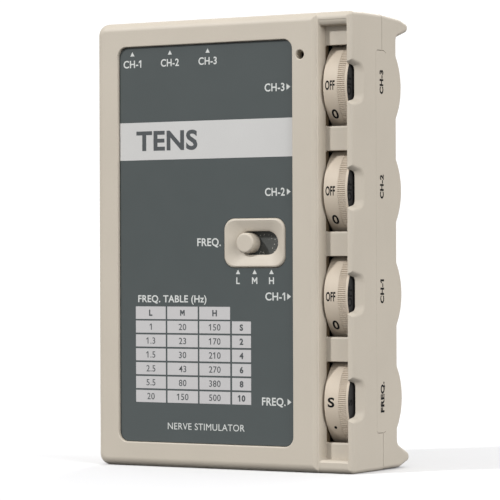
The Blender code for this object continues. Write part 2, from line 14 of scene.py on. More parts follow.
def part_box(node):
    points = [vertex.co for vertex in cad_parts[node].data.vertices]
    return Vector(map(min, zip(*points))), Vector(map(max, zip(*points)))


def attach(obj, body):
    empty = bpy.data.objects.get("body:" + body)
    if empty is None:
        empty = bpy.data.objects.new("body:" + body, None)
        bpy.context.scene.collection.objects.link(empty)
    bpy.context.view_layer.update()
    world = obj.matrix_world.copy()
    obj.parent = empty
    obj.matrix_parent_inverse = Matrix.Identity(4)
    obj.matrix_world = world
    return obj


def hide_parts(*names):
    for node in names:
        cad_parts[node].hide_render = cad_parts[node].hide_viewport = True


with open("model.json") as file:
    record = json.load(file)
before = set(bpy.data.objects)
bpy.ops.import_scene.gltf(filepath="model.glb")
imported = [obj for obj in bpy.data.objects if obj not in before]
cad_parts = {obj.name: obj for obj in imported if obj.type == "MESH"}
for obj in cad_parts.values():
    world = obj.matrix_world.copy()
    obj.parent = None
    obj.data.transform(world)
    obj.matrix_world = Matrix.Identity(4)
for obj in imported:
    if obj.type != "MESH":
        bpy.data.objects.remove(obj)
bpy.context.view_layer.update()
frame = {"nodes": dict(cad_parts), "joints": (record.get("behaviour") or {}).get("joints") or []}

MM = 0.001
FACE_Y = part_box("front_shell")[0].y


def spans(node):
    """A node's box in millimetres: (left, right), (front, back), (low, high)."""
    low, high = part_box(node)
    shift = Vector((0, FACE_Y, 0))
    return tuple(zip((low - shift) / MM, (high - shift) / MM))


def centre_of(node):
    """The middle of a node's box in millimetres."""
    return tuple(sum(span) / 2 for span in spans(node))


# -------- sizes

# Case
HALF = spans("front_shell")[0][1]
TOP = spans("front_shell")[2][1]
CROWN = 0.35                    # the top swells this much from its front edge to its middle
CROWN_START = 1.0
CROWN_RISE = 13.0               # the depth over which it swells
HEIGHT = TOP - CROWN
PARTING = spans("front_shell")[1][1] + 0.15
FOOT_BACK = spans("rear_shell")[1][1]
SEAM = 0.075                    # half the gap between the two shells
TONGUE_SEAM = 0.02              # half the gap along the tongue's front edge
CORNER = 3.0                    # left corners of the case, seen from the front
RIGHT_CORNER = 1.1              # its right corners, and all edges of the rear shell's right side
CORNERS = (CORNER, RIGHT_CORNER, RIGHT_CORNER, CORNER)
WALL = 1.8
SIDE_WALL = 1.4
SIDE_INSIDE = HALF - SIDE_WALL
FACE_INSIDE = 3.1
INSIDE_CORNER = 1.2
COVER_X, COVER_Y, COVER_Z = spans("battery_cover")
BACK = COVER_Y[1]
BACK_INSIDE = BACK - WALL

# Front face
FACE_RIGHT = 28.9
FACE_ROUND = 2.3
STEP_ROUND = 1.8
SHOULDER = 0.8
SHOULDER_ROUND = 1.6
LABEL_X, LABEL_Y, LABEL_Z = spans("label_panel")
LABEL_GAP = 0.15
LABEL_CORNER = 2.6
RECESS_FLOOR = LABEL_Y[1] + 0.3
LED_X = centre_of("power_led")[0]
LED_Z = centre_of("power_led")[2]
LED_HOLE = 1.15
LED_DOME = 0.85
LED_FLANGE = 1.45

# Slide switch
KNOB_X = centre_of("switch_knob")[0]
KNOB_FRONT = spans("switch_knob")[1][0]
KNOB_RADIUS = (spans("switch_knob")[0][1] - spans("switch_knob")[0][0]) / 2
SWITCH_Z = centre_of("switch_knob")[2]
TRAVEL = 6.0
SLOT = (KNOB_X - 2.9, KNOB_X + TRAVEL + 3.0)
SLOT_HALF = 3.05
BEZEL = (1.0, 19.2, 52.2, 64.9)
BEZEL_FRONT = 0.3

# Thumbwheels
DIALS = ("freq", "ch1", "ch2", "ch3")
PIVOTS = {joint["child"]: joint["pos_m"] for joint in frame["joints"] if "pos_m" in joint}
WHEEL_Z = {name: PIVOTS["dial_" + name][2] / MM for name in DIALS}
WHEEL_Y = (PIVOTS["dial_freq"][1] - FACE_Y) / MM
WHEEL_X = spans("wheel_freq")[0]
WHEEL_RADIUS = WHEEL_Y - spans("wheel_freq")[1][0]
WHEEL_FACE = 36.5
WHEEL_LIP = 12.3
HOUSING_LEFT = 26.4
HOUSING_RADIUS = 12.9
HOUSING_Y = 15.5                # the humps are flatter than the wheels, with centres further back
HOUSING_ABOVE = 0.45            # and slightly above the wheel centres
HOUSING_EDGE = 1.1
HOUSING_ENDS = (4.5, 114.0)
HOUSING_BLEND = 0.35
WELL_RADIUS = 13.1
GROOVE = (29.6, 37.0)
GROOVE_FLOOR = 3.5
GROOVE_INSIDE = 5.1
WINDOW_HIGH = 20.5
NOTCH_ABOVE = 0.65              # the notches sit slightly above the wheel centres
NOTCH_FLARE = 0.225             # how fast they widen towards the front
TONGUE_FRONT = 14.0
TONGUE_ENDS = (9.6, 108.0)
CHAMBER_ENDS = (4.0, 113.0)     # the space around the wheels, where shade is painted on as a darker colour

# Sockets and screws
JACK_Y = 13.6
JACK_HOLE = 2.65
SCREW_HOLE = 1.5
SCREW_HEAD_HOLE = 2.6
SCREW_SEAT = 20.5
SCREW_POST = 3.5
HOLE_EDGE = 0.3                 # the round at the mouth of these holes
CROSS_HALF = 1.25               # half the length of the cross in a screw's head
CROSS_STROKE = 0.25             # half the width of its arms
CROSS_DEPTH = 0.7

# Battery bay
BAY_FRONT = 6.0
BAY_WALL_X = (-8.3, -7.3)
BAY_BOTTOM_Z = (9.0, 10.0)
BAY_TOP = 64
BATTERY_CAP = 4.5               # the bare metal end of the battery

JACKS = ("jack_ch1", "jack_ch2", "jack_ch3")
CASE_SCREWS = ("case_screw_1", "case_screw_2", "case_screw_3", "case_screw_4")


# -------- outlines and solids

def point(x, y, z):
    """A place in the frame's metres."""
    return Vector((x * MM, FACE_Y + y * MM, z * MM))


def rect(left, right, low, high):
    """Corners of a rectangle, anticlockwise."""
    return [(left, low), (right, low), (right, high), (left, high)]


def offset(corners, distance):
    """The outline moved inwards by a distance, or outwards when it is negative."""
    moved = []
    for i, corner in enumerate(corners):
        here = Vector(corner)
        along = (here - Vector(corners[i - 1])).normalized()
        onward = (Vector(corners[(i + 1) % len(corners)]) - here).normalized()
        inward = Vector((-along.y, along.x))
        inward_next = Vector((-onward.y, onward.x))
        shift = (inward + inward_next) * (distance / (1 + inward.dot(inward_next)))
        moved.append(tuple(here + shift))
    return moved


def turns_left(corners, i):
    """Whether an anticlockwise outline bulges outwards at a corner."""
    here = Vector(corners[i])
    along = here - Vector(corners[i - 1])
    onward = Vector(corners[(i + 1) % len(corners)]) - here
    return along.x * onward.y - along.y * onward.x > 0


def rounded(corners, radii, inset=0.0, steps=10):
    """An outline with an arc at each corner that has a radius; an inset keeps the arcs concentric."""
    if not isinstance(radii, (list, tuple)):
        radii = [radii] * len(corners)
    moved = offset(corners, inset)
    outline = []
    for i, corner in enumerate(moved):
        if radii[i] == 0:
            outline.append(corner)
            continue
        here = Vector(corner)
        back = (Vector(moved[i - 1]) - here).normalized()
        onward = (Vector(moved[(i + 1) % len(moved)]) - here).normalized()
        radius = radii[i] - inset if turns_left(corners, i) else radii[i] + inset
        radius = max(radius, 0.05)
        half = back.angle(onward) / 2
        centre = here + (back + onward).normalized() * (radius / math.sin(half))
        first = here + back * (radius / math.tan(half)) - centre
        last = here + onward * (radius / math.tan(half)) - centre
        swing = first.angle(last)
        for step in range(steps + 1):
            t = step / steps
            arm = first * math.sin((1 - t) * swing) + last * math.sin(t * swing)
            outline.append(tuple(centre + arm / math.sin(swing)))
    return outline


def circle(u, v, radius, count):
    """Points around a circle, anticlockwise."""
    turn = 2 * math.pi / count
    return [(u + radius * math.cos(i * turn), v + radius * math.sin(i * turn)) for i in range(count)]


def place(axis, level, outline):
    """Stand an outline across an axis at a level: (Y, Z), (X, Z) or (X, Y)."""
    if axis == "x":
        return [point(level, u, v) for u, v in outline]
    if axis == "y":
        return [point(u, level, v) for u, v in outline]
    return [point(u, v, level) for u, v in outline]


def pile(rings, ring_shaped=False):
    """Join equal rings of points into one closed solid, with end caps or closed on itself."""
    bm = bmesh.new()
    loops = [[bm.verts.new(p) for p in ring] for ring in rings]
    pairs = list(zip(loops, loops[1:]))
    if ring_shaped:
        pairs.append((loops[-1], loops[0]))
    else:
        bm.faces.new(loops[0])
        bm.faces.new(loops[-1])
    for lower, upper in pairs:
        for i in range(len(lower)):
            bm.faces.new((lower[i - 1], lower[i], upper[i], upper[i - 1]))
    bmesh.ops.recalc_face_normals(bm, faces=bm.faces)
    return bm


def edge_depths(radius, steps=8):
    """Depths at which an edge of this radius is drawn, from its face inwards."""
    return [radius * (1 - math.cos(math.pi / 2 * i / steps)) for i in range(steps + 1)]


def edge_inset(radius, depth):
    """How far inside the wall a rounded edge lies at a depth below its face."""
    if depth >= radius:
        return 0.0
    return radius - math.sqrt(radius ** 2 - (radius - depth) ** 2)


def prism(axis, low, high, corners, radii=0.0, low_edge=0.0, high_edge=0.0, steps=10):
    """An outline drawn out along an axis, with its two end edges rounded."""
    levels = [(low, edge_inset(low_edge, 0))]
    if low_edge:
        levels = [(low + d, edge_inset(low_edge, d)) for d in edge_depths(low_edge)]
    ends = [(high, 0.0)]
    if high_edge:
        ends = [(high - d, edge_inset(high_edge, d)) for d in reversed(edge_depths(high_edge))]
    rings = [place(axis, level, rounded(corners, radii, inset, steps)) for level, inset in levels + ends]
    return pile(rings)


def mouth(level, end, corners, radii, soft):
    """A cutter that enters at a level of Y, where it leaves a rounded rim, and runs to its end."""
    way = 1 if end > level else -1
    levels = [(level - way * 2, soft)]
    levels += [(level + way * d, edge_inset(soft, d)) for d in edge_depths(soft, 5)]
    levels.append((end, 0.0))
    return pile([place("y", y, rounded(corners, radii, -spread)) for y, spread in levels])


def turned(axis, centre, profile, count=64):
    """A turned piece: (level, radius) pairs along an axis."""
    rings = [place(axis, level, circle(*centre, radius, count)) for level, radius in profile]
    return pile(rings)


def smooth_levels(levels, parts=4):
    """Rows of numbers with more rows between them, on a smooth curve through the given ones."""
    rows = []
    for i in range(len(levels) - 1):
        before = levels[max(i - 1, 0)]
        after = levels[min(i + 2, len(levels) - 1)]
        for part in range(parts):
            t = part / parts
            row = []
            for a, b, c, d in zip(before, levels[i], levels[i + 1], after):
                bend = (2 * a - 5 * b + 4 * c - d) * t + (3 * b - a - 3 * c + d) * t * t
                row.append(b + t / 2 * (c - a + bend))
            rows.append(row)
    rows.append(list(levels[-1]))
    return rows


# -------- pieces

def add(name, bm, *materials):
    """Turn a bmesh into a named object at the frame's origin."""
    mesh = bpy.data.meshes.new(name)
    bm.to_mesh(mesh)
    bm.free()
    made = bpy.data.objects.new(name, mesh)
    for material in materials:
        mesh.materials.append(material)
    bpy.context.scene.collection.objects.link(made)
    return made


def change(target, operation, tools):
    """Join tools to a piece, cut them out of it or keep what they share, and settle the result."""
    group = bpy.data.collections.new("tools")
    guides = [add("tool", bm) for bm in tools]
    for guide in guides:
        group.objects.link(guide)
    modifier = target.modifiers.new("change", "BOOLEAN")
    modifier.operation = operation
    modifier.solver = "EXACT"
    modifier.operand_type = "COLLECTION"
    modifier.collection = group
    graph = bpy.context.evaluated_depsgraph_get()
    settled = bpy.data.meshes.new_from_object(target.evaluated_get(graph))
    target.modifiers.clear()
    target.data = settled
    for guide in guides:
        bpy.data.objects.remove(guide)
    bpy.data.collections.remove(group)


def shade(piece, angle=32):
    """Shade a piece smooth, with its sharp edges kept and its flat faces flat."""
    piece.data.shade_smooth()
    piece.data.set_sharp_from_angle(angle=math.radians(angle))
    modifier = piece.modifiers.new("normals", "WEIGHTED_NORMAL")
    modifier.keep_sharp = True
    modifier.weight = 80


def darken_chamber(shell):
    """Paint shade onto the faces of the space around the wheels, behind the windows' lips, as a darker
    brown colour.
    """
    margin, lip = 0.05, 0.6
    shell.data.materials.append(CHAMBER_PAINTED_SHADE)
    for face in shell.data.polygons:
        x, y, z = face.center / MM
        y -= FACE_Y / MM
        beside = HOUSING_LEFT < x < SIDE_INSIDE - margin and CHAMBER_ENDS[0] < z < CHAMBER_ENDS[1]
        behind = GROOVE_FLOOR + lip < y < BACK_INSIDE + 0.1
        reach = min(math.hypot(y - WHEEL_Y, z - centre) for centre in WHEEL_Z.values())
        # these faces get the painted shade
        if beside and (behind or reach < WELL_RADIUS + margin):
            face.material_index = len(shell.data.materials) - 1


def fit(piece, body, slot, *nodes):
    """Shade a piece, fasten it to its body and hide the nodes that it stands for; slot is not used."""
    shade(piece)
    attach(piece, body)
    if nodes:
        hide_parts(*nodes)
    return piece


# -------- materials

def srgb(red, green, blue):
    """A colour given in screen values, 0 to 255, as the shaders want it."""
    linear = []
    for value in (red, green, blue):
        share = value / 255
        linear.append(share / 12.92 if share <= 0.04045 else ((share + 0.055) / 1.055) ** 2.4)
    return (*linear, 1.0)


def shaded(colour, factor):
    """A colour made lighter or darker."""
    return (*(min(channel * factor, 1.0) for channel in colour[:3]), 1.0)


def noise(tree, scale, detail):
    """A noise texture in the frame's metres."""
    where = tree.nodes.new("ShaderNodeTexCoord").outputs["Object"]
    made = tree.nodes.new("ShaderNodeTexNoise")
    made.inputs["Scale"].default_value = scale
    made.inputs["Detail"].default_value = detail
    tree.links.new(where, made.inputs["Vector"])
    return made.outputs["Fac"]


def ramp(tree, factor, stops):
    """A colour ramp: (position, colour) stops."""
    made = tree.nodes.new("ShaderNodeValToRGB")
    while len(made.color_ramp.elements) < len(stops):
        made.color_ramp.elements.new(0.5)
    for element, (position, colour) in zip(made.color_ramp.elements, stops):
        element.position = position
        element.color = colour
    tree.links.new(factor, made.inputs["Fac"])
    return made.outputs["Color"]


def blend(tree, factor, first, second, how="MIX"):
    """Mix two colours, each a socket or a plain colour."""
    made = tree.nodes.new("ShaderNodeMix")
    made.data_type = "RGBA"
    made.blend_type = how
    for socket, value in ((made.inputs[0], factor), (made.inputs[6], first), (made.inputs[7], second)):
        if isinstance(value, bpy.types.NodeSocket):
            tree.links.new(value, socket)
        else:
            socket.default_value = value
    return made.outputs[2]


def surface(name, colour, roughness, grain=2600, depth=0.012, patchy=0.02, speckle=0.02,
            metallic=0.0, roughness_play=0.05, gloss=0.5):
    """A material with broad patches, fine speckle, a fine bump and a roughness that varies.

    grain is the number of bumps in a metre, depth is their height in millimetres, and gloss is
    the shader's specular level.
    """
    made = bpy.data.materials.new(name)
    made.use_nodes = True
    tree = made.node_tree
    shader = tree.nodes["Principled BSDF"]
    shader.inputs["Metallic"].default_value = metallic
    shader.inputs["Specular IOR Level"].default_value = gloss
    patches = ((0.3, shaded(colour, 1 - patchy)), (0.7, shaded(colour, 1 + patchy)))
    broad = ramp(tree, noise(tree, 55, 3), patches)
    dots = ramp(tree, noise(tree, grain, 2), ((0.3, (1 - speckle,) * 3 + (1,)), (0.7, (1, 1, 1, 1))))
    tree.links.new(blend(tree, 1.0, broad, dots, "MULTIPLY"), shader.inputs["Base Color"])
    spread = tree.nodes.new("ShaderNodeMapRange")
    spread.inputs["To Min"].default_value = roughness - roughness_play
    spread.inputs["To Max"].default_value = roughness + roughness_play
    tree.links.new(noise(tree, 240, 3), spread.inputs["Value"])
    tree.links.new(spread.outputs["Result"], shader.inputs["Roughness"])
    bump = tree.nodes.new("ShaderNodeBump")
    bump.inputs["Strength"].default_value = 1.0
    bump.inputs["Distance"].default_value = depth * MM
    tree.links.new(noise(tree, grain, 3), bump.inputs["Height"])
    tree.links.new(bump.outputs["Normal"], shader.inputs["Normal"])
    return made


CASE = surface("moulded_case", srgb(190, 181, 167), 0.55)
WHEEL = surface("moulded_wheel", srgb(194, 181, 164), 0.62, grain=3200, depth=0.006)
WHEEL_DARK = surface("wheel_disc", srgb(38, 37, 36), 0.6, depth=0.008, gloss=0.25)
FILM = surface("label_film", srgb(62, 69, 69), 0.42, grain=4200, depth=0.005, patchy=0.015)
BAND = surface("silver_band", srgb(198, 197, 195), 0.42, grain=4200, depth=0.004, speckle=0.04)
CELLS = surface("silver_cells", srgb(192, 190, 190), 0.45, grain=4200, depth=0.004, speckle=0.05)
PALE_INK = surface("pale_ink", srgb(204, 206, 203), 0.5, depth=0.003)
DARK_INK = surface("dark_ink", srgb(62, 66, 68), 0.5, depth=0.003)
BLACK_INK = surface("black_ink", srgb(10, 9, 9), 0.7, depth=0.003, gloss=0.15)
DARK = surface("dark_plastic", srgb(44, 44, 45), 0.45, depth=0.01)
STEEL = surface("nickel_steel", srgb(190, 188, 184), 0.28, 900, 0.002, metallic=1.0)
LENS = surface("lamp_lens", srgb(16, 6, 6), 0.25, depth=0.001, roughness_play=0.02, gloss=0.2)
BOARD = surface("board_green", srgb(38, 92, 58), 0.38, grain=1400, depth=0.01, patchy=0.12)
FERRITE = surface("ferrite_black", srgb(62, 60, 58), 0.6, depth=0.02, speckle=0.2)
SLEEVE = surface("capacitor_blue", srgb(34, 50, 92), 0.3, depth=0.003)
JACKET = surface("battery_jacket", srgb(46, 47, 50), 0.28, depth=0.004, metallic=0.3)
RED = surface("red_insulation", srgb(168, 34, 30), 0.45, depth=0.006)
# painted shade: a dark brown that stands in for the shadow inside the space around the wheels
CHAMBER_PAINTED_SHADE = surface("wheel_chamber", srgb(98, 84, 64), 0.6)
FOAM = surface("black_foam", srgb(52, 52, 52), 0.95, grain=1600, depth=0.25, speckle=0.5)


def dusty(material):
    """Pale specks of dust, thinly strewn over a dark plate."""
    tree = material.node_tree
    shader = tree.nodes["Principled BSDF"]
    under = shader.inputs["Base Color"].links[0].from_socket
    where = tree.nodes.new("ShaderNodeTexCoord").outputs["Object"]
    cells = tree.nodes.new("ShaderNodeTexVoronoi")
    cells.inputs["Scale"].default_value = 1500
    tree.links.new(where, cells.inputs["Vector"])
    specks = ramp(tree, cells.outputs["Distance"], ((0.15, (1, 1, 1, 1)), (0.26, (0, 0, 0, 1))))
    places = ramp(tree, noise(tree, 420, 1), ((0.4, (0, 0, 0, 1)), (0.5, (0.8, 0.8, 0.8, 1))))
    share = blend(tree, 1.0, specks, places, "MULTIPLY")
    mixed = blend(tree, share, under, srgb(196, 194, 186))
    tree.links.new(mixed, shader.inputs["Base Color"])
    return material


SHIELD = dusty(surface("dusty_shield", srgb(68, 70, 67), 0.6, grain=1800, depth=0.02, speckle=0.15))


# -------- front shell

def face_block():
    """The raised face: round outer edges, and a smaller round on its right edge."""
    rings = []
    corners = (CORNER, 1.0, 1.0, CORNER)
    for depth in edge_depths(FACE_ROUND, 12) + [FACE_INSIDE + 0.6]:
        outer = edge_inset(FACE_ROUND, depth)
        right = edge_inset(STEP_ROUND, depth)
        outline = rect(outer - HALF, FACE_RIGHT - right, outer, HEIGHT - outer)
        radii = [max(radius - outer, 0.2) for radius in corners]
        rings.append(place("y", depth, rounded(outline, radii)))
    return pile(rings)


def groove():
    """The channel that the wheels stand in, with upright ends and a steep left wall."""
    levels = (                  # Y, left, right, low, high
        (-1.0, 28.95, 37.5, 2.6, 115.4),
        (SHOULDER - 0.1, 28.95, 37.4, 2.7, 115.2),
        (1.0, 29.0, 37.2, 3.0, 114.5),
        (1.4, 29.12, 37.1, 3.35, 113.85),
        (1.9, 29.25, 37.05, 3.45, 113.65),
        (GROOVE_FLOOR, *GROOVE, 3.5, 113.6),
    )
    return pile([place("y", y, rounded(rect(*box), 0.4)) for y, *box in smooth_levels(levels)])


def window(z):
    """The opening in front of one wheel, with a crisp upper and a soft lower edge."""
    left, right = GROOVE[0] + 0.02, SIDE_INSIDE - 0.01
    half = WINDOW_HIGH / 2
    below, above = 0.55, 0.2
    rings = []
    for depth in [-0.6] + edge_depths(below) + [GROOVE_INSIDE - GROOVE_FLOOR + 0.5]:
        low = z - half - edge_inset(below, max(depth, 0))
        high = z + half + edge_inset(above, max(depth, 0))
        rings.append(place("y", GROOVE_FLOOR + depth, rounded(rect(left, right, low, high), 0.2)))
    return pile(rings)


def notch(z):
    """The finger notch through the rib, and the shallow scoop behind it."""
    levels = (                  # X, rear, half the height, radius of the corners
        (SIDE_INSIDE - 0.8, 5.0, 4.1, 1.3),
        (SIDE_INSIDE, 5.05, 4.1, 1.3),
        (SIDE_INSIDE + 0.3, 5.6, 4.15, 1.6),
        (SIDE_INSIDE + 0.6, 6.25, 4.2, 1.9),
        (SIDE_INSIDE + 0.9, 6.9, 4.3, 2.2),
        (SIDE_INSIDE + 1.2, 7.5, 4.5, 2.5),
        (HALF, 8.0, 4.85, 2.8),
        (HALF + 1.0, 9.5, 6.0, 3.4),
    )
    rings = []
    for x, rear, half, radius in smooth_levels(levels):
        wide = half + (rear + 2.0) * NOTCH_FLARE
        corners = [(-2.0, z - wide), (rear, z - half), (rear, z + half), (-2.0, z + wide)]
        rings.append(place("x", x, rounded(corners, (0, radius, radius, 0))))
    return pile(rings)


def switch_dish():
    """The dished mouth of the switch bezel, from just inside its rim down to the slot."""
    rim = offset(rect(*BEZEL), 0.55)
    reach = (SLOT[0] - rim[0][0], rim[1][0] - SLOT[1], rim[2][1] - SWITCH_Z - SLOT_HALF)
    levels = (                  # Y, share of the way from the slot to the rim
        (BEZEL_FRONT - 0.6, 1.3), (BEZEL_FRONT, 1.0), (0.45, 0.82), (0.66, 0.58), (0.88, 0.33),
        (1.12, 0.12), (1.37, 0.0),
    )
    rings = []
    for y, share in smooth_levels(levels):
        half = SLOT_HALF + share * reach[2]
        outline = rect(
            SLOT[0] - share * reach[0], SLOT[1] + share * reach[1], SWITCH_Z - half, SWITCH_Z + half,
        )
        rings.append(place("y", y, rounded(outline, SLOT_HALF)))
    slot = rect(*SLOT, SWITCH_Z - SLOT_HALF, SWITCH_Z + SLOT_HALF)
    rings.append(place("y", FACE_INSIDE + 1.0, rounded(slot, SLOT_HALF - 0.01)))
    return pile(rings)


def crown(y):
    """How far the top stands above its front edge at a depth: a slow rise that ends level."""
    share = min(max((y - CROWN_START) / CROWN_RISE, 0.0), 1.0)
    return CROWN * math.sin(math.pi / 2 * share)


def front_body():
    """The outer block of the front shell, with round front edges and its top swelling."""
    levels = [(SHOULDER + d, edge_inset(SHOULDER_ROUND, d)) for d in edge_depths(SHOULDER_ROUND)]
    levels += [(y, 0.0) for y in (3.5, 5, 6.5, 8, 9.5, 11, 12.5, 14, PARTING - SEAM)]
    rings = []
    for y, inset in levels:
        outline = rect(-HALF, HALF, 0, HEIGHT + crown(y))
        rings.append(place("y", y, rounded(outline, CORNERS, inset)))
    return pile(rings)


def hole_profile(bottom, rim, end, radius):
    """Profile of a round hole from its bottom to its rounded rim, and on to an end above it."""
    soft = [(rim - d, radius + edge_inset(HOLE_EDGE, d)) for d in reversed(edge_depths(HOLE_EDGE))]
    return [(bottom, radius), *soft, (end, radius + HOLE_EDGE)]


def front_shell():
    """The front half: body, raised face and bezel, with the label's recess and all openings."""
    shell = add("front_case", front_body(), CASE)
    change(shell, "UNION", [face_block()])
    inside = rect(WALL - HALF, FACE_RIGHT - 0.6, WALL, HEIGHT - WALL)
    inside_right = rect(20, SIDE_INSIDE, WALL + 0.01, HEIGHT - WALL - 0.01)
    hollows = [prism("y", FACE_INSIDE, 30, inside, INSIDE_CORNER)]
    hollows.append(prism("y", GROOVE_INSIDE, 31, inside_right, INSIDE_CORNER))
    label = offset(rect(*LABEL_X, *LABEL_Z), -LABEL_GAP)
    recess = mouth(0.0, RECESS_FLOOR, label, LABEL_CORNER, 0.3)
    change(shell, "DIFFERENCE", [*hollows, recess, groove()])
    change(shell, "UNION", [prism("y", BEZEL_FRONT, FACE_INSIDE - 1, rect(*BEZEL), CORNER, 0.6)])
    cuts = [switch_dish()]
    cuts += [window(z) for z in WHEEL_Z.values()]
    cuts += [notch(z + NOTCH_ABOVE) for z in WHEEL_Z.values()]
    soft = [(d, LED_HOLE + edge_inset(HOLE_EDGE, d)) for d in edge_depths(HOLE_EDGE)]
    led_hole = [(-1, LED_HOLE + HOLE_EDGE), *soft, (5, LED_HOLE)]
    cuts.append(turned("y", (LED_X, LED_Z), led_hole))
    for name in JACKS:
        centre = (centre_of(name)[0], JACK_Y)
        rim = HEIGHT + crown(JACK_Y)
        cuts.append(turned("z", centre, hole_profile(110, rim, rim + 1, JACK_HOLE)))
    strip = rect(TONGUE_FRONT - TONGUE_SEAM, 30, *TONGUE_ENDS)
    cuts.append(prism("x", SIDE_INSIDE - 3, HALF + 2, strip, 1.0))
    change(shell, "DIFFERENCE", cuts)
    # paint shade into the space around the wheels
    darken_chamber(shell)
    fit(shell, "case", "case_plastic", "front_shell")


# -------- rear shell

REAR_PROFILE = (                # side view: (Y, Z) and the radius of each corner
    ((12.0, 0.15), 0),
    ((27.0, 0.2), 5.0),
    ((FOOT_BACK, 1.75), 1.1),
    ((FOOT_BACK, 3.7), 1.1),
    ((BACK, 6.5), 1.8),
    ((BACK, 111.75), 1.0),
    ((FOOT_BACK, 113.75), 1.1),
    ((FOOT_BACK, 115.7), 1.1),
    ((27.8, 116.8), 4.0),
    ((18.0, TOP), 8.0),
    ((12.0, TOP), 0),
)


def housing_back(z):
    """Back of the wheel housings at a height: round humps melting into the flat of the back."""
    rise = min((z - HOUSING_ABOVE - centre) ** 2 for centre in WHEEL_Z.values())
    depth = HOUSING_Y + math.sqrt(max(HOUSING_RADIUS ** 2 - rise, 0))
    flat = BACK - 0.05
    mix = max(HOUSING_BLEND - abs(depth - flat), 0) / HOUSING_BLEND
    return max(depth, flat) + mix * mix * HOUSING_BLEND / 4


def housings():
    """The four humps behind the wheels, along the right edge of the back."""
    count = 300
    front = PARTING + 1.2
    bottom, top = HOUSING_ENDS
    heights = [bottom + (top - bottom) * i / count for i in range(count + 1)]
    depths = edge_depths(HOUSING_EDGE)
    levels = [(HOUSING_LEFT + d, edge_inset(HOUSING_EDGE, d)) for d in depths]
    levels += [(HALF - d, edge_inset(HOUSING_EDGE, d)) for d in reversed(depths)]
    rings = []
    for x, inset in levels:
        humps = [(housing_back(z) - inset, z) for z in heights]
        rings.append(place("x", x, [(front, bottom), *humps, (front, top)]))
    return pile(rings)


def screw_places():
    """(X, Z) of the case screws."""
    return [(centre_of(name)[0], centre_of(name)[2]) for name in CASE_SCREWS]


TAIL_LINES = (                  # (Y, Z) along each line
    ((17.2, 108.0), (18.4, 107.9), (19.5, 107.3)),
    ((17.2, 9.7), (18.0, 9.75), (18.8, 10.0)),
)
TAIL_HALF = 0.07
TAIL_DEPTH = 0.25


def seam_tails():
    """Cutters for the short lines that run on from the ends of the tongue, over the rear shell."""
    tails = []
    for line in TAIL_LINES:
        outline = [(y, z - TAIL_HALF) for y, z in line]
        outline += [(y, z + TAIL_HALF) for y, z in reversed(line)]
        tails.append(prism("x", HALF - TAIL_DEPTH, HALF + 1, outline))
    return tails


def rear_shell():
    """The rear half: feet, housings and tongue, hollow inside, with the bay and the screw posts."""
    corners = [corner for corner, radius in REAR_PROFILE]
    radii = [radius for corner, radius in REAR_PROFILE]
    shell = add("rear_case", prism("x", -HALF - 1, HALF, corners, radii, 0, RIGHT_CORNER), CASE)
    clear_of_side = HALF + 3
    outline = rect(-HALF, clear_of_side, 0, TOP)
    envelope = prism("y", PARTING + SEAM, FOOT_BACK + 0.02, outline, (CORNER, 0, 0, CORNER), 0, 0.9)
    change(shell, "INTERSECT", [envelope])
    low, high = TONGUE_ENDS
    tongue = rect(TONGUE_FRONT + TONGUE_SEAM, PARTING + 1.7, low + 2 * SEAM, high - 2 * SEAM)
    change(shell, "UNION", [housings(), prism("x", SIDE_INSIDE, HALF, tongue, 0.9)])
    inside = rect(WALL - HALF, SIDE_INSIDE, WALL, HEIGHT - WALL)
    well = ((HOUSING_LEFT + 1.2, WELL_RADIUS), (SIDE_INSIDE - 0.01, WELL_RADIUS))
    wells = [turned("x", (WHEEL_Y, z), well, 96) for z in WHEEL_Z.values()]
    change(shell, "DIFFERENCE", [prism("y", 12, BACK_INSIDE, inside, INSIDE_CORNER), *wells])
    bay_wall = rect(*BAY_WALL_X, BAY_BOTTOM_Z[0], BAY_TOP)
    bay_side = prism("y", BAY_FRONT, BACK_INSIDE + 0.5, bay_wall)
    bay_floor = rect(WALL + 0.3 - HALF, BAY_WALL_X[1] - 0.2, *BAY_BOTTOM_Z)
    bay_bottom = prism("y", BAY_FRONT + 0.1, BACK_INSIDE + 0.4, bay_floor)
    places = screw_places()
    post = ((PARTING + SEAM, SCREW_POST), (BACK_INSIDE + 0.6, SCREW_POST))
    posts = [turned("y", place_xz, post) for place_xz in places]
    change(shell, "UNION", [bay_side, bay_bottom, *posts])
    door = offset(rect(*COVER_X, *COVER_Z), -0.25)
    cuts = [mouth(BACK, 22.5, door, 2.0, 0.25)]
    cuts += [turned("y", place_xz, ((15, SCREW_HOLE), (40, SCREW_HOLE))) for place_xz in places]
    for x, z in places:
        cuts.append(turned("y", (x, z), hole_profile(SCREW_SEAT, BACK, 40, SCREW_HEAD_HOLE)))
    change(shell, "DIFFERENCE", cuts + seam_tails())
    # paint shade into the space around the wheels
    darken_chamber(shell)
    fit(shell, "case", "case_plastic", "rear_shell")


def battery_cover():
    """The door of the battery bay, with a ribbed thumb dent."""
    middle = sum(COVER_X) / 2
    plate = prism("y", COVER_Y[0], BACK, rect(*COVER_X, *COVER_Z), 1.7, 0.3, 0.35)
    cover = add("battery_door", plate, CASE)
    z = COVER_Z[1] - 7
    levels = ((-0.8, 2.6), (-0.72, 3.4), (-0.45, 4.3), (-0.1, 5.0), (0, 5.4), (1, 7))
    dent = [(BACK + level, radius) for level, radius in levels]
    change(cover, "DIFFERENCE", [turned("y", (middle, z), dent)])
    ribs = []
    pitch, half, reach = 1.15, 0.25, 3.4
    for step in range(-2, 3):
        rise = z + step * pitch
        width = math.sqrt(reach ** 2 - (step * pitch) ** 2)
        bar = rect(middle - width, middle + width, rise - half, rise + half)
        ribs.append(prism("y", BACK - 0.5, BACK - 1.0, bar, 0.2, 0, 0, 4))
    change(cover, "UNION", ribs)
    fit(cover, "battery_door", "case_plastic", "battery_cover")


# -------- printing

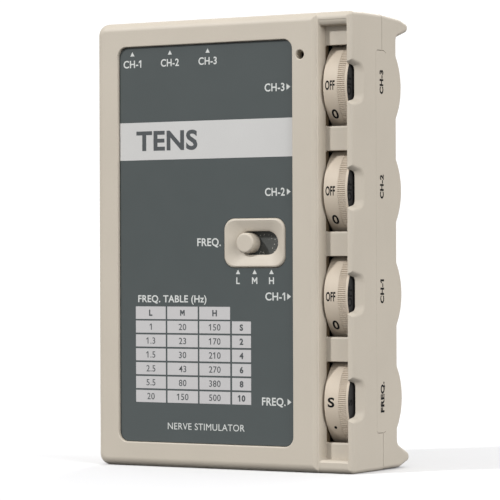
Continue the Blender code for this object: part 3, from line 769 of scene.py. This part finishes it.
def flat_words(text, weight):
    """Filled outlines of some words as flat faces, one unit of type high."""
    curve = bpy.data.curves.new("words", "FONT")
    curve.body = text
    curve.offset = weight
    curve.space_character = 1.05
    curve.resolution_u = 4
    holder = bpy.data.objects.new("words", curve)
    bpy.context.scene.collection.objects.link(holder)
    graph = bpy.context.evaluated_depsgraph_get()
    mesh = bpy.data.meshes.new_from_object(holder.evaluated_get(graph))
    bm = bmesh.new()
    bm.from_mesh(mesh)
    bmesh.ops.remove_doubles(bm, verts=bm.verts, dist=1e-5)
    bpy.data.objects.remove(holder)
    bpy.data.meshes.remove(mesh)
    return bm


def flag_ones(bm, text, weight):
    """Give each figure 1 a small flag at its top left."""
    for i, letter in enumerate(text):
        if letter != "1":
            continue
        upto = flat_words(text[:i + 1], weight)
        stem = flat_words("1", weight)
        left, right, low, high = box_of(stem)
        start = box_of(upto)[1] - (right - left)
        upto.free()
        stem.free()
        reach, drop, thick = 0.16, 0.13, 0.12 + 2 * weight
        flag = [(start, high), (start - reach, high - drop), (start - reach, high - drop - thick)]
        flag.append((start, high - thick))
        bm.faces.new([bm.verts.new((u, v, 0)) for u, v in flag])


def capital_m(weight):
    """A capital M with even strokes, because the font's own closes up at a heavier weight."""
    stroke, wide, tall, foot = 0.085 + 2 * weight, 0.66, 0.7, 0.14
    shoulder = tall - 2.0 * stroke
    outline = [(0, 0), (stroke, 0), (stroke, shoulder), (wide / 2, foot), (wide - stroke, shoulder)]
    outline += [(wide - stroke, 0), (wide, 0), (wide, tall), (wide - stroke, tall)]
    outline += [(wide / 2, foot + 2.0 * stroke), (stroke, tall), (0, tall)]
    return patch(outline)


def box_of(bm):
    """Left, right, low and high bounds of flat faces."""
    xs = [v.co.x for v in bm.verts]
    ys = [v.co.y for v in bm.verts]
    return min(xs), max(xs), min(ys), max(ys)


def words(text, cap, width=None, weight=0.0, centre=(0, 0), left=None):
    """Flat words with capitals of a height, squeezed to a width, centred or set from the left."""
    bm = capital_m(weight) if text == "M" else flat_words(text, weight)
    flag_ones(bm, text, weight)
    capital = flat_words("H", weight)
    low, high = box_of(capital)[2:]
    capital.free()
    start, end = box_of(bm)[:2]
    tall = cap / (high - low)
    wide = width / (end - start) if width else tall
    shift = left - start * wide if left is not None else centre[0] - (start + end) / 2 * wide
    for v in bm.verts:
        v.co = Vector((v.co.x * wide + shift, (v.co.y - (low + high) / 2) * tall + centre[1], 0))
    return bm


def patch(outline):
    """A flat face with an outline."""
    bm = bmesh.new()
    bm.faces.new([bm.verts.new((u, v, 0)) for u, v in outline])
    return bm


def slices(bm, step):
    """Cut flat faces at regular heights, so that they can follow a curved surface."""
    low, high = box_of(bm)[2:]
    for i in range(math.floor(low / step) + 1, math.ceil(high / step)):
        parts = bm.verts[:] + bm.edges[:] + bm.faces[:]
        bmesh.ops.bisect_plane(bm, geom=parts, plane_co=(0, i * step, 0), plane_no=(0, 1, 0))
    return bm


def stamp(ink, flat, surface_at, lift=0.02, sink=0.02):
    """Add flat faces to a layer of ink, as thin solids on a surface: surface_at(u, v, height)."""
    flat.verts.index_update()
    flat.verts.ensure_lookup_table()
    under = [ink.verts.new(surface_at(v.co.x, v.co.y, -sink)) for v in flat.verts]
    over = [ink.verts.new(surface_at(v.co.x, v.co.y, lift)) for v in flat.verts]
    for face in flat.faces:
        ring = [v.index for v in face.verts]
        ink.faces.new([over[i] for i in ring])
        ink.faces.new([under[i] for i in reversed(ring)])
        for a, b in zip(ring, ring[1:] + ring[:1]):
            edge = flat.edges.get((flat.verts[a], flat.verts[b]))
            if len(edge.link_faces) == 1:
                ink.faces.new((under[a], under[b], over[b], over[a]))
    flat.free()


def on_label(u, v, height):
    """The label: u runs right, v runs up."""
    return point(u, LABEL_Y[0] - height, v)


def on_side(u, v, height):
    """The right wall, for words that read upwards: u runs up, v runs forwards."""
    return point(HALF + height, -v, u)


def arrow(tip, base, half):
    """A small triangle from the middle of its base to its tip."""
    along = Vector(tip) - Vector(base)
    across = Vector((-along.y, along.x)).normalized() * half
    return [tuple(Vector(base) - across), tip, tuple(Vector(base) + across)]


CHANNELS = ("ch1", "ch2", "ch3")
TABLE = (
    ("L", "M", "H", None),
    ("1", "20", "150", "S"),
    ("1.3", "23", "170", "2"),
    ("1.5", "30", "210", "4"),
    ("2.5", "43", "270", "6"),
    ("5.5", "80", "380", "8"),
    ("20", "150", "500", "10"),
)
COLUMNS = ((-26.55, -17.21), (-16.71, -7.30), (-6.81, 2.57), (3.13, 8.85))
ROW_PITCH = 3.655
ROWS = [(38.76, 42.07)] + [(35.16 - ROW_PITCH * i, 38.34 - ROW_PITCH * i) for i in range(6)]
BAND_Z = (80.6, 90.5)
PRINT_WEIGHT = 0.018


def label_marks():
    """White words and arrows, silver fields, and the dark figures on them."""
    pale, silver, dark = bmesh.new(), bmesh.new(), bmesh.new()
    for name, switch_x in zip("LMH", (5.03, 10.02, 15.05)):
        stamp(pale, words(name, 1.75, weight=0.02, centre=(switch_x, 48.85)), on_label)
        stamp(pale, patch(arrow((switch_x, 51.7), (switch_x, 50.55), 0.65)), on_label)
    stamp(pale, words("FREQ.", 2.05, 7.2, PRINT_WEIGHT, (-3.75, 58.85)), on_label)
    for name, jack in zip(CHANNELS, JACKS):
        x = centre_of(jack)[0]
        channel = "CH-" + name[-1]
        z = WHEEL_Z[name]
        stamp(pale, words(channel, 1.95, 5.6, PRINT_WEIGHT, (x, 106.0)), on_label)
        stamp(pale, patch(arrow((x, 109.25), (x, 108.1), 0.65)), on_label)
        stamp(pale, words(channel, 2.05, 5.9, PRINT_WEIGHT, (16.15, z)), on_label)
        stamp(pale, patch(arrow((20.85, z), (19.7, z), 0.8)), on_label)
    z = WHEEL_Z["freq"] - 0.15
    stamp(pale, words("FREQ.", 2.05, 7.0, PRINT_WEIGHT, (15.6, z)), on_label)
    stamp(pale, patch(arrow((20.85, z), (19.7, z), 0.8)), on_label)
    stamp(pale, words("FREQ. TABLE (Hz)", 1.85, 21.2, PRINT_WEIGHT, (-15.2, 44.1)), on_label)
    stamp(pale, words("NERVE STIMULATOR", 1.7, 23.5, 0.0, (-4.9, 10.8)), on_label)
    for row, entries in zip(ROWS, TABLE):
        for column, entry in zip(COLUMNS, entries):
            if entry is None:
                continue
            heavy = row == ROWS[0] or column == COLUMNS[-1]
            bold = 0.04 if heavy else 0.006
            centre = (sum(column) / 2, sum(row) / 2)
            stamp(silver, patch(rect(*column, *row)), on_label, 0.015)
            stamp(dark, words(entry, 1.65, None, bold, centre), on_label, 0.03)
    stamp(dark, words("TENS", 5.2, 19.0, 0.03, (0, 85.6), left=-26.2), on_label, 0.03)
    fit(add("pale_marks", pale, PALE_INK), "case", "label_film")
    fit(add("silver_cells", silver, CELLS), "case", "label_film")
    fit(add("dark_marks", dark, DARK_INK), "case", "label_film")
    band = bmesh.new()
    stamp(band, patch(rect(LABEL_X[0] + 0.02, LABEL_X[1] - 0.02, *BAND_Z)), on_label, 0.015)
    fit(add("silver_band", band, BAND), "case", "label_film")


SIDE_WORDS = (                  # words, height on the wall and length
    ("CH-3", 99.8, 6.2), ("CH-2", 72.9, 6.2), ("CH-1", 46.0, 6.2), ("FREQ.", 18.85, 7.9),
)
SIDE_WORDS_Y = 17.0


def side_marks():
    """The channels' names on the right wall, which read upwards."""
    ink = bmesh.new()
    for text, z, length in SIDE_WORDS:
        stamp(ink, words(text, 1.95, length, 0.045, (z, -SIDE_WORDS_Y)), on_side)
    fit(add("side_marks", ink, BLACK_INK), "case", "label_film")


def label_panel():
    """The printed film, cut out around the bezel."""
    edges = rect(*LABEL_X, *LABEL_Z)
    panel = add("label_sheet", prism("y", LABEL_Y[0], LABEL_Y[1], edges, LABEL_CORNER - 0.1, 0.04), FILM)
    change(panel, "DIFFERENCE", [prism("y", 0, 3, offset(rect(*BEZEL), -0.12), CORNER + 0.1)])
    fit(panel, "case", "label_film", "label_panel")
    label_marks()
    side_marks()


# -------- switch and lamp

def switch_parts():
    """The round button and the dusty plate that travels behind the slot."""
    edge = 0.6
    profile = [(KNOB_FRONT + d, KNOB_RADIUS - edge_inset(edge, d)) for d in edge_depths(edge, 6)]
    profile.append((FACE_INSIDE, KNOB_RADIUS))
    knob = turned("y", (KNOB_X, SWITCH_Z), profile, 72)
    fit(add("slide_button", knob, CASE), "slide_knob", "case_plastic", "switch_knob")
    x, y, z = spans("switch_dust_shield")
    plate = prism("y", *y, rect(*x, *z), 0.5, 0.05)
    fit(add("slide_shield", plate, SHIELD), "slide_knob", "dark_plastic", "switch_dust_shield")


def lamp():
    """A small dark dome, sunk in the hole of the face."""
    front, back = spans("power_led")[1]
    top = front + 1.0
    edge = 0.75
    dome = [(top + d, LED_DOME - edge_inset(edge, d)) for d in edge_depths(edge)]
    foot = [(3.5, LED_DOME), (3.52, LED_FLANGE), (back, LED_FLANGE)]
    fit(add("lamp", turned("y", (LED_X, LED_Z), dome + foot, 36), LENS), "case", "lens", "power_led")


# -------- thumbwheels

KNURLS = 150
KNURL_DEPTH = 0.3
KNURL_SHAPE = (0.0, 0.0, 1.0, 0.0)      # share of the depth at four steps around each knurl
KNURL_X = (4.05, 6.4)           # from the wheel's left edge
RIM_EDGE = 0.35
SHAFT_HOLE = 2.35
LEFT_FACE_RING = 11.0           # between the hole and the rim, so that the left face stays even
SCREW_WELL = (34.6, 3.1)        # level and radius of the well for the wheel's screw
OFF_TO_ZERO = 34.5              # degrees between the figures of a channel's wheel
FIGURE_STEP = 26.6
FREQ_MARKS = (                  # figure, degrees from the first, height of a capital and width
    ("S", 0, 2.5, 1.95), ("2", 60, 2.2, 1.5), ("4", 120, 2.2, 1.6), ("6", 180, 2.2, 1.5),
    ("8", 240, 2.2, 1.5), ("10", 300, 2.2, 2.6),
)
DISC_WIDTHS = {"OFF": 5.2, "10": 2.6}   # widths of the words on the dark face, others below
DISC_WIDTH = 1.6
DISC_REACH = 10.9               # from the wheel's centre to the middle of a word
DOT_RADIUS = 0.42


def wheel_rim():
    """(X, radius, knurl depth) along the rim, from the left edge to the right face's lip."""
    left, right = WHEEL_X
    radius = WHEEL_RADIUS
    start, end = left + KNURL_X[0], left + KNURL_X[1]
    depths = edge_depths(RIM_EDGE, 5)
    rim = [(left + d, radius - edge_inset(RIM_EDGE, d), 0) for d in depths]
    rim += [(start, radius, 0), (start + 0.2, radius - 0.02, KNURL_DEPTH)]
    rim += [(end - 0.15, radius - 0.02, KNURL_DEPTH), (end, radius, 0)]
    rim += [(right - d, radius - edge_inset(RIM_EDGE, d), 0) for d in reversed(depths)]
    return rim


def wheel(name, z):
    """One wheel, bored for its shaft; its dark right face lies below the lip."""
    left, right = WHEEL_X
    face, lip = WHEEL_FACE, WHEEL_LIP
    levels = wheel_rim()
    levels += [(right - 0.02, lip + 0.05, 0), (face + 0.1, lip, 0), (face, lip - 0.1, 0)]
    floor_x, well = SCREW_WELL
    levels += [(face, well + 0.1, 0), (face - 0.1, well, 0), (floor_x, well, 0)]
    levels += [(floor_x, SHAFT_HOLE, 0), (left, SHAFT_HOLE, 0), (left, LEFT_FACE_RING, 0)]
    count = KNURLS * len(KNURL_SHAPE)
    rings = []
    for x, radius, knurl in levels:
        ring = []
        for i in range(count):
            angle = 2 * math.pi * i / count
            reach = radius - knurl * KNURL_SHAPE[i % len(KNURL_SHAPE)]
            ring.append(point(x, WHEEL_Y - reach * math.cos(angle), z + reach * math.sin(angle)))
        rings.append(ring)
    bm = pile(rings, True)
    centre = point(face, WHEEL_Y, z)
    for item in bm.faces:
        middle = item.calc_center_median() - centre
        if middle.x > -0.06 * MM and middle.length < (WHEEL_RADIUS - 0.25) * MM:
            item.material_index = 1
    return add("thumbwheel_" + name, bm, WHEEL, WHEEL_DARK)


def on_rim(z, turn):
    """The rim of the wheel at height z, with v = 0 turned down from the front by an angle."""
    def surface_at(u, v, height):
        reach = WHEEL_RADIUS + height
        angle = v / WHEEL_RADIUS - math.radians(turn)
        return point(WHEEL_X[0] + u, WHEEL_Y - reach * math.cos(angle), z + reach * math.sin(angle))
    return surface_at


def on_disc(z, turn):
    """The dark face of the wheel: u runs up and v forwards at the front, before it is turned."""
    def surface_at(u, v, height):
        angle = math.radians(turn)
        ahead, up = v, u
        y = WHEEL_Y - ahead * math.cos(angle) - up * math.sin(angle)
        return point(WHEEL_FACE + height, y, z + up * math.cos(angle) - ahead * math.sin(angle))
    return surface_at


def wheel_marks(name, z):
    """The figures on the rim of a wheel and the same ones on its dark face."""
    rim, disc = bmesh.new(), bmesh.new()
    if name == "freq":
        marks = FREQ_MARKS
        for turn in range(30, 300, 60):
            dot = patch(circle(2.5, 0, DOT_RADIUS, 16))
            stamp(rim, slices(dot, 0.2), on_rim(z, turn), 0.015)
    else:
        marks = [("OFF", 0, 2.4, 2.75)]
        widths = [1.85] * 10 + [2.8]
        for i, width in enumerate(widths):
            marks.append((str(i), OFF_TO_ZERO + FIGURE_STEP * i, 2.75, width))
    for text, turn, cap, width in marks:
        middle = 2.4 if text.isdigit() else 2.1     # from the wheel's left edge
        flat = words(text, cap, width, 0.03, (middle, 0))
        stamp(rim, slices(flat, 0.25), on_rim(z, turn), 0.015)
        flat = words(text, 2.2, DISC_WIDTHS.get(text, DISC_WIDTH), 0.04, (0, DISC_REACH))
        stamp(disc, flat, on_disc(z, turn), 0.015)
    fit(add("rim_marks_" + name, rim, BLACK_INK), "dial_" + name, "label_film")
    fit(add("disc_marks_" + name, disc, BLACK_INK), "dial_" + name, "label_film")


def wheels():
    """All four wheels with their figures."""
    for name, z in WHEEL_Z.items():
        fit(wheel(name, z), "dial_" + name, "wheel_plastic", "wheel_" + name)
        wheel_marks(name, z)


# -------- inner parts

NODE_MATERIALS = (
    ("switch_lever", DARK), ("switch_body", STEEL), ("pot_", DARK), ("pot_shaft_", STEEL),
    ("wheel_screw_", STEEL), ("jack_", DARK), ("circuit_board", BOARD), ("microcontroller", DARK),
    ("transformer_", FERRITE), ("capacitor_", SLEEVE), ("battery_snap", DARK),
    ("snap_lead_red", RED), ("snap_lead_black", DARK), ("foam_pad", FOAM), ("board_screw_", STEEL),
)


def node_mesh(name):
    """A copy of a node's shape as a bmesh, in place."""
    bm = bmesh.new()
    bm.from_mesh(frame["nodes"][name].data)
    bm.transform(frame["nodes"][name].matrix_world)
    return bm


def case_screws():
    """The case screws with a cross recess in their heads."""
    for (x, z), name in zip(screw_places(), CASE_SCREWS):
        head = spans(name)[1][1]
        screw = add(name.replace("case_", "cross_"), node_mesh(name), STEEL)
        upright = rect(x - CROSS_STROKE, x + CROSS_STROKE, z - CROSS_HALF, z + CROSS_HALF)
        level = rect(x - CROSS_HALF, x + CROSS_HALF, z - CROSS_STROKE, z + CROSS_STROKE)
        for bar in (upright, level):
            change(screw, "DIFFERENCE", [prism("y", head - CROSS_DEPTH, head + 1, bar)])
        fit(screw, "case", "steel", name)


def battery():
    """The battery with a bare metal end and a plain printed size."""
    x, y, z = spans("battery")
    bm = node_mesh("battery")
    cap_start = (z[1] - BATTERY_CAP) * MM
    parts = bm.verts[:] + bm.edges[:] + bm.faces[:]
    bmesh.ops.bisect_plane(bm, geom=parts, plane_co=(0, 0, cap_start), plane_no=(0, 0, 1))
    for item in bm.faces:
        item.material_index = 1 if item.calc_center_median().z > cap_start else 0
    fit(add("battery_block", bm, JACKET, STEEL), "case", "battery_jacket", "battery")
    middle = sum(x) / 2

    def on_jacket(u, v, height):
        return point(middle - u, y[1] + height, v)

    ink = bmesh.new()
    stamp(ink, words("9 V", 6.5, None, 0.02, (0, z[0] + 24)), on_jacket, 0.01, 0.01)
    stamp(ink, patch(rect(-11.5, 11.5, z[0] + 34, z[0] + 36)), on_jacket, 0.01, 0.01)
    fit(add("battery_print", ink, CELLS), "case", "battery_jacket")


def dress_nodes():
    """Give every node that still shows a finished material; the longest matching name wins."""
    for name, node in frame["nodes"].items():
        if node.hide_render:
            continue
        matches = [(len(start), material) for start, material in NODE_MATERIALS if name.startswith(start)]
        material = max(matches, key=lambda match: match[0])[1]
        node.data.materials.clear()
        node.data.materials.append(material)


# -------- floor, light and camera

AZIMUTH = math.radians(31.0)    # the camera stands to the right of the front
PITCH = math.radians(0.29)
ROLL = math.radians(-0.20)
DISTANCE = 710.0
AIM = (7.83, 56.77)             # to the right of the middle and above the floor
FOCAL = 197.5

SKY = (0.05, 0.74, 0.7)         # brightness of the surround below, at and above the horizon
BACKDROP = 1.1                  # and as the camera sees it, so that the background is white
LAMP_AIM = Vector((0, 0, 0.06))  # the lamps and the floor are in metres
LAMP_DISTANCE = 2.5
FLOOR_RADIUS = 0.35
LAMPS = (                       # name, degrees to the right of the front and up, size, watts
    ("key_lamp", -35, 34, 0.25, 44),
    ("fill_lamp", 76, 25, 1.8, 45),
    ("back_lamp", 190, 30, 1.0, 24),
)


def camera():
    """A camera low on the right of the front, aimed past the middle of the case."""
    ahead = Vector((
        -math.sin(AZIMUTH) * math.cos(PITCH),
        math.cos(AZIMUTH) * math.cos(PITCH),
        math.sin(PITCH),
    ))
    right = Vector((math.cos(AZIMUTH), math.sin(AZIMUTH), 0))
    up = right.cross(ahead)
    across = right * math.cos(ROLL) + up * math.sin(ROLL)
    upward = up * math.cos(ROLL) - right * math.sin(ROLL)
    data = bpy.data.cameras.new("camera")
    data.lens = FOCAL
    data.sensor_width = 36
    data.clip_start = 0.01
    made = bpy.data.objects.new("camera", data)
    target = point(0, 0, AIM[1]) + right * AIM[0] * MM
    turn = Matrix((across, upward, -ahead)).transposed()
    made.matrix_world = Matrix.Translation(target - ahead * DISTANCE * MM) @ turn.to_4x4()
    bpy.context.scene.collection.objects.link(made)
    bpy.context.scene.camera = made


def area_light(name, azimuth, elevation, size, power):
    """A round lamp that points at the object."""
    side, up = math.radians(azimuth), math.radians(elevation)
    way = Vector((math.sin(side) * math.cos(up), -math.cos(side) * math.cos(up), math.sin(up)))
    spot = LAMP_AIM + way * LAMP_DISTANCE
    data = bpy.data.lights.new(name, "AREA")
    data.shape = "DISK"
    data.size = size
    data.energy = power
    made = bpy.data.objects.new(name, data)
    made.location = spot
    made.rotation_mode = "QUATERNION"
    made.rotation_quaternion = (LAMP_AIM - spot).to_track_quat("-Z", "Y")
    bpy.context.scene.collection.objects.link(made)


def floor():
    """A pale round floor that lets no light bounce up from it."""
    bm = bmesh.new()
    bmesh.ops.create_circle(bm, cap_ends=True, segments=96, radius=FLOOR_RADIUS)
    made = add("floor", bm, surface("white_sweep", srgb(224, 224, 225), 0.9, 400, 0.0, 0.002, 0.002))
    made.visible_diffuse = False


def studio():
    """A soft white surround, dark from below, with three lamps."""
    world = bpy.data.worlds.new("studio")
    world.use_nodes = True
    tree = world.node_tree
    back = tree.nodes["Background"]
    where = tree.nodes.new("ShaderNodeTexCoord").outputs["Generated"]
    parts = tree.nodes.new("ShaderNodeSeparateXYZ")
    tree.links.new(where, parts.inputs[0])
    spread = tree.nodes.new("ShaderNodeMapRange")
    spread.inputs["From Min"].default_value = -1.0
    tree.links.new(parts.outputs["Z"], spread.inputs["Value"])
    scale = max(SKY)
    below, level, above = ((value / scale,) * 3 + (1,) for value in SKY)
    steps = ((0.45, below), (0.49, level), (0.55, level), (1.0, above))
    tree.links.new(ramp(tree, spread.outputs["Result"], steps), back.inputs["Color"])
    back.inputs["Strength"].default_value = scale
    seen = tree.nodes.new("ShaderNodeBackground")
    seen.inputs["Strength"].default_value = BACKDROP
    seen.inputs["Color"].default_value = (1, 1, 1, 1)
    split = tree.nodes.new("ShaderNodeMixShader")
    tree.links.new(tree.nodes.new("ShaderNodeLightPath").outputs["Is Camera Ray"], split.inputs[0])
    tree.links.new(back.outputs[0], split.inputs[1])
    tree.links.new(seen.outputs[0], split.inputs[2])
    tree.links.new(split.outputs[0], tree.nodes["World Output"].inputs["Surface"])
    bpy.context.scene.world = world
    for lamp_values in LAMPS:
        area_light(*lamp_values)
    bpy.context.scene.view_settings.view_transform = "Standard"


front_shell()
rear_shell()
battery_cover()
label_panel()
switch_parts()
lamp()
wheels()
case_screws()
battery()
dress_nodes()
floor()
studio()
camera()
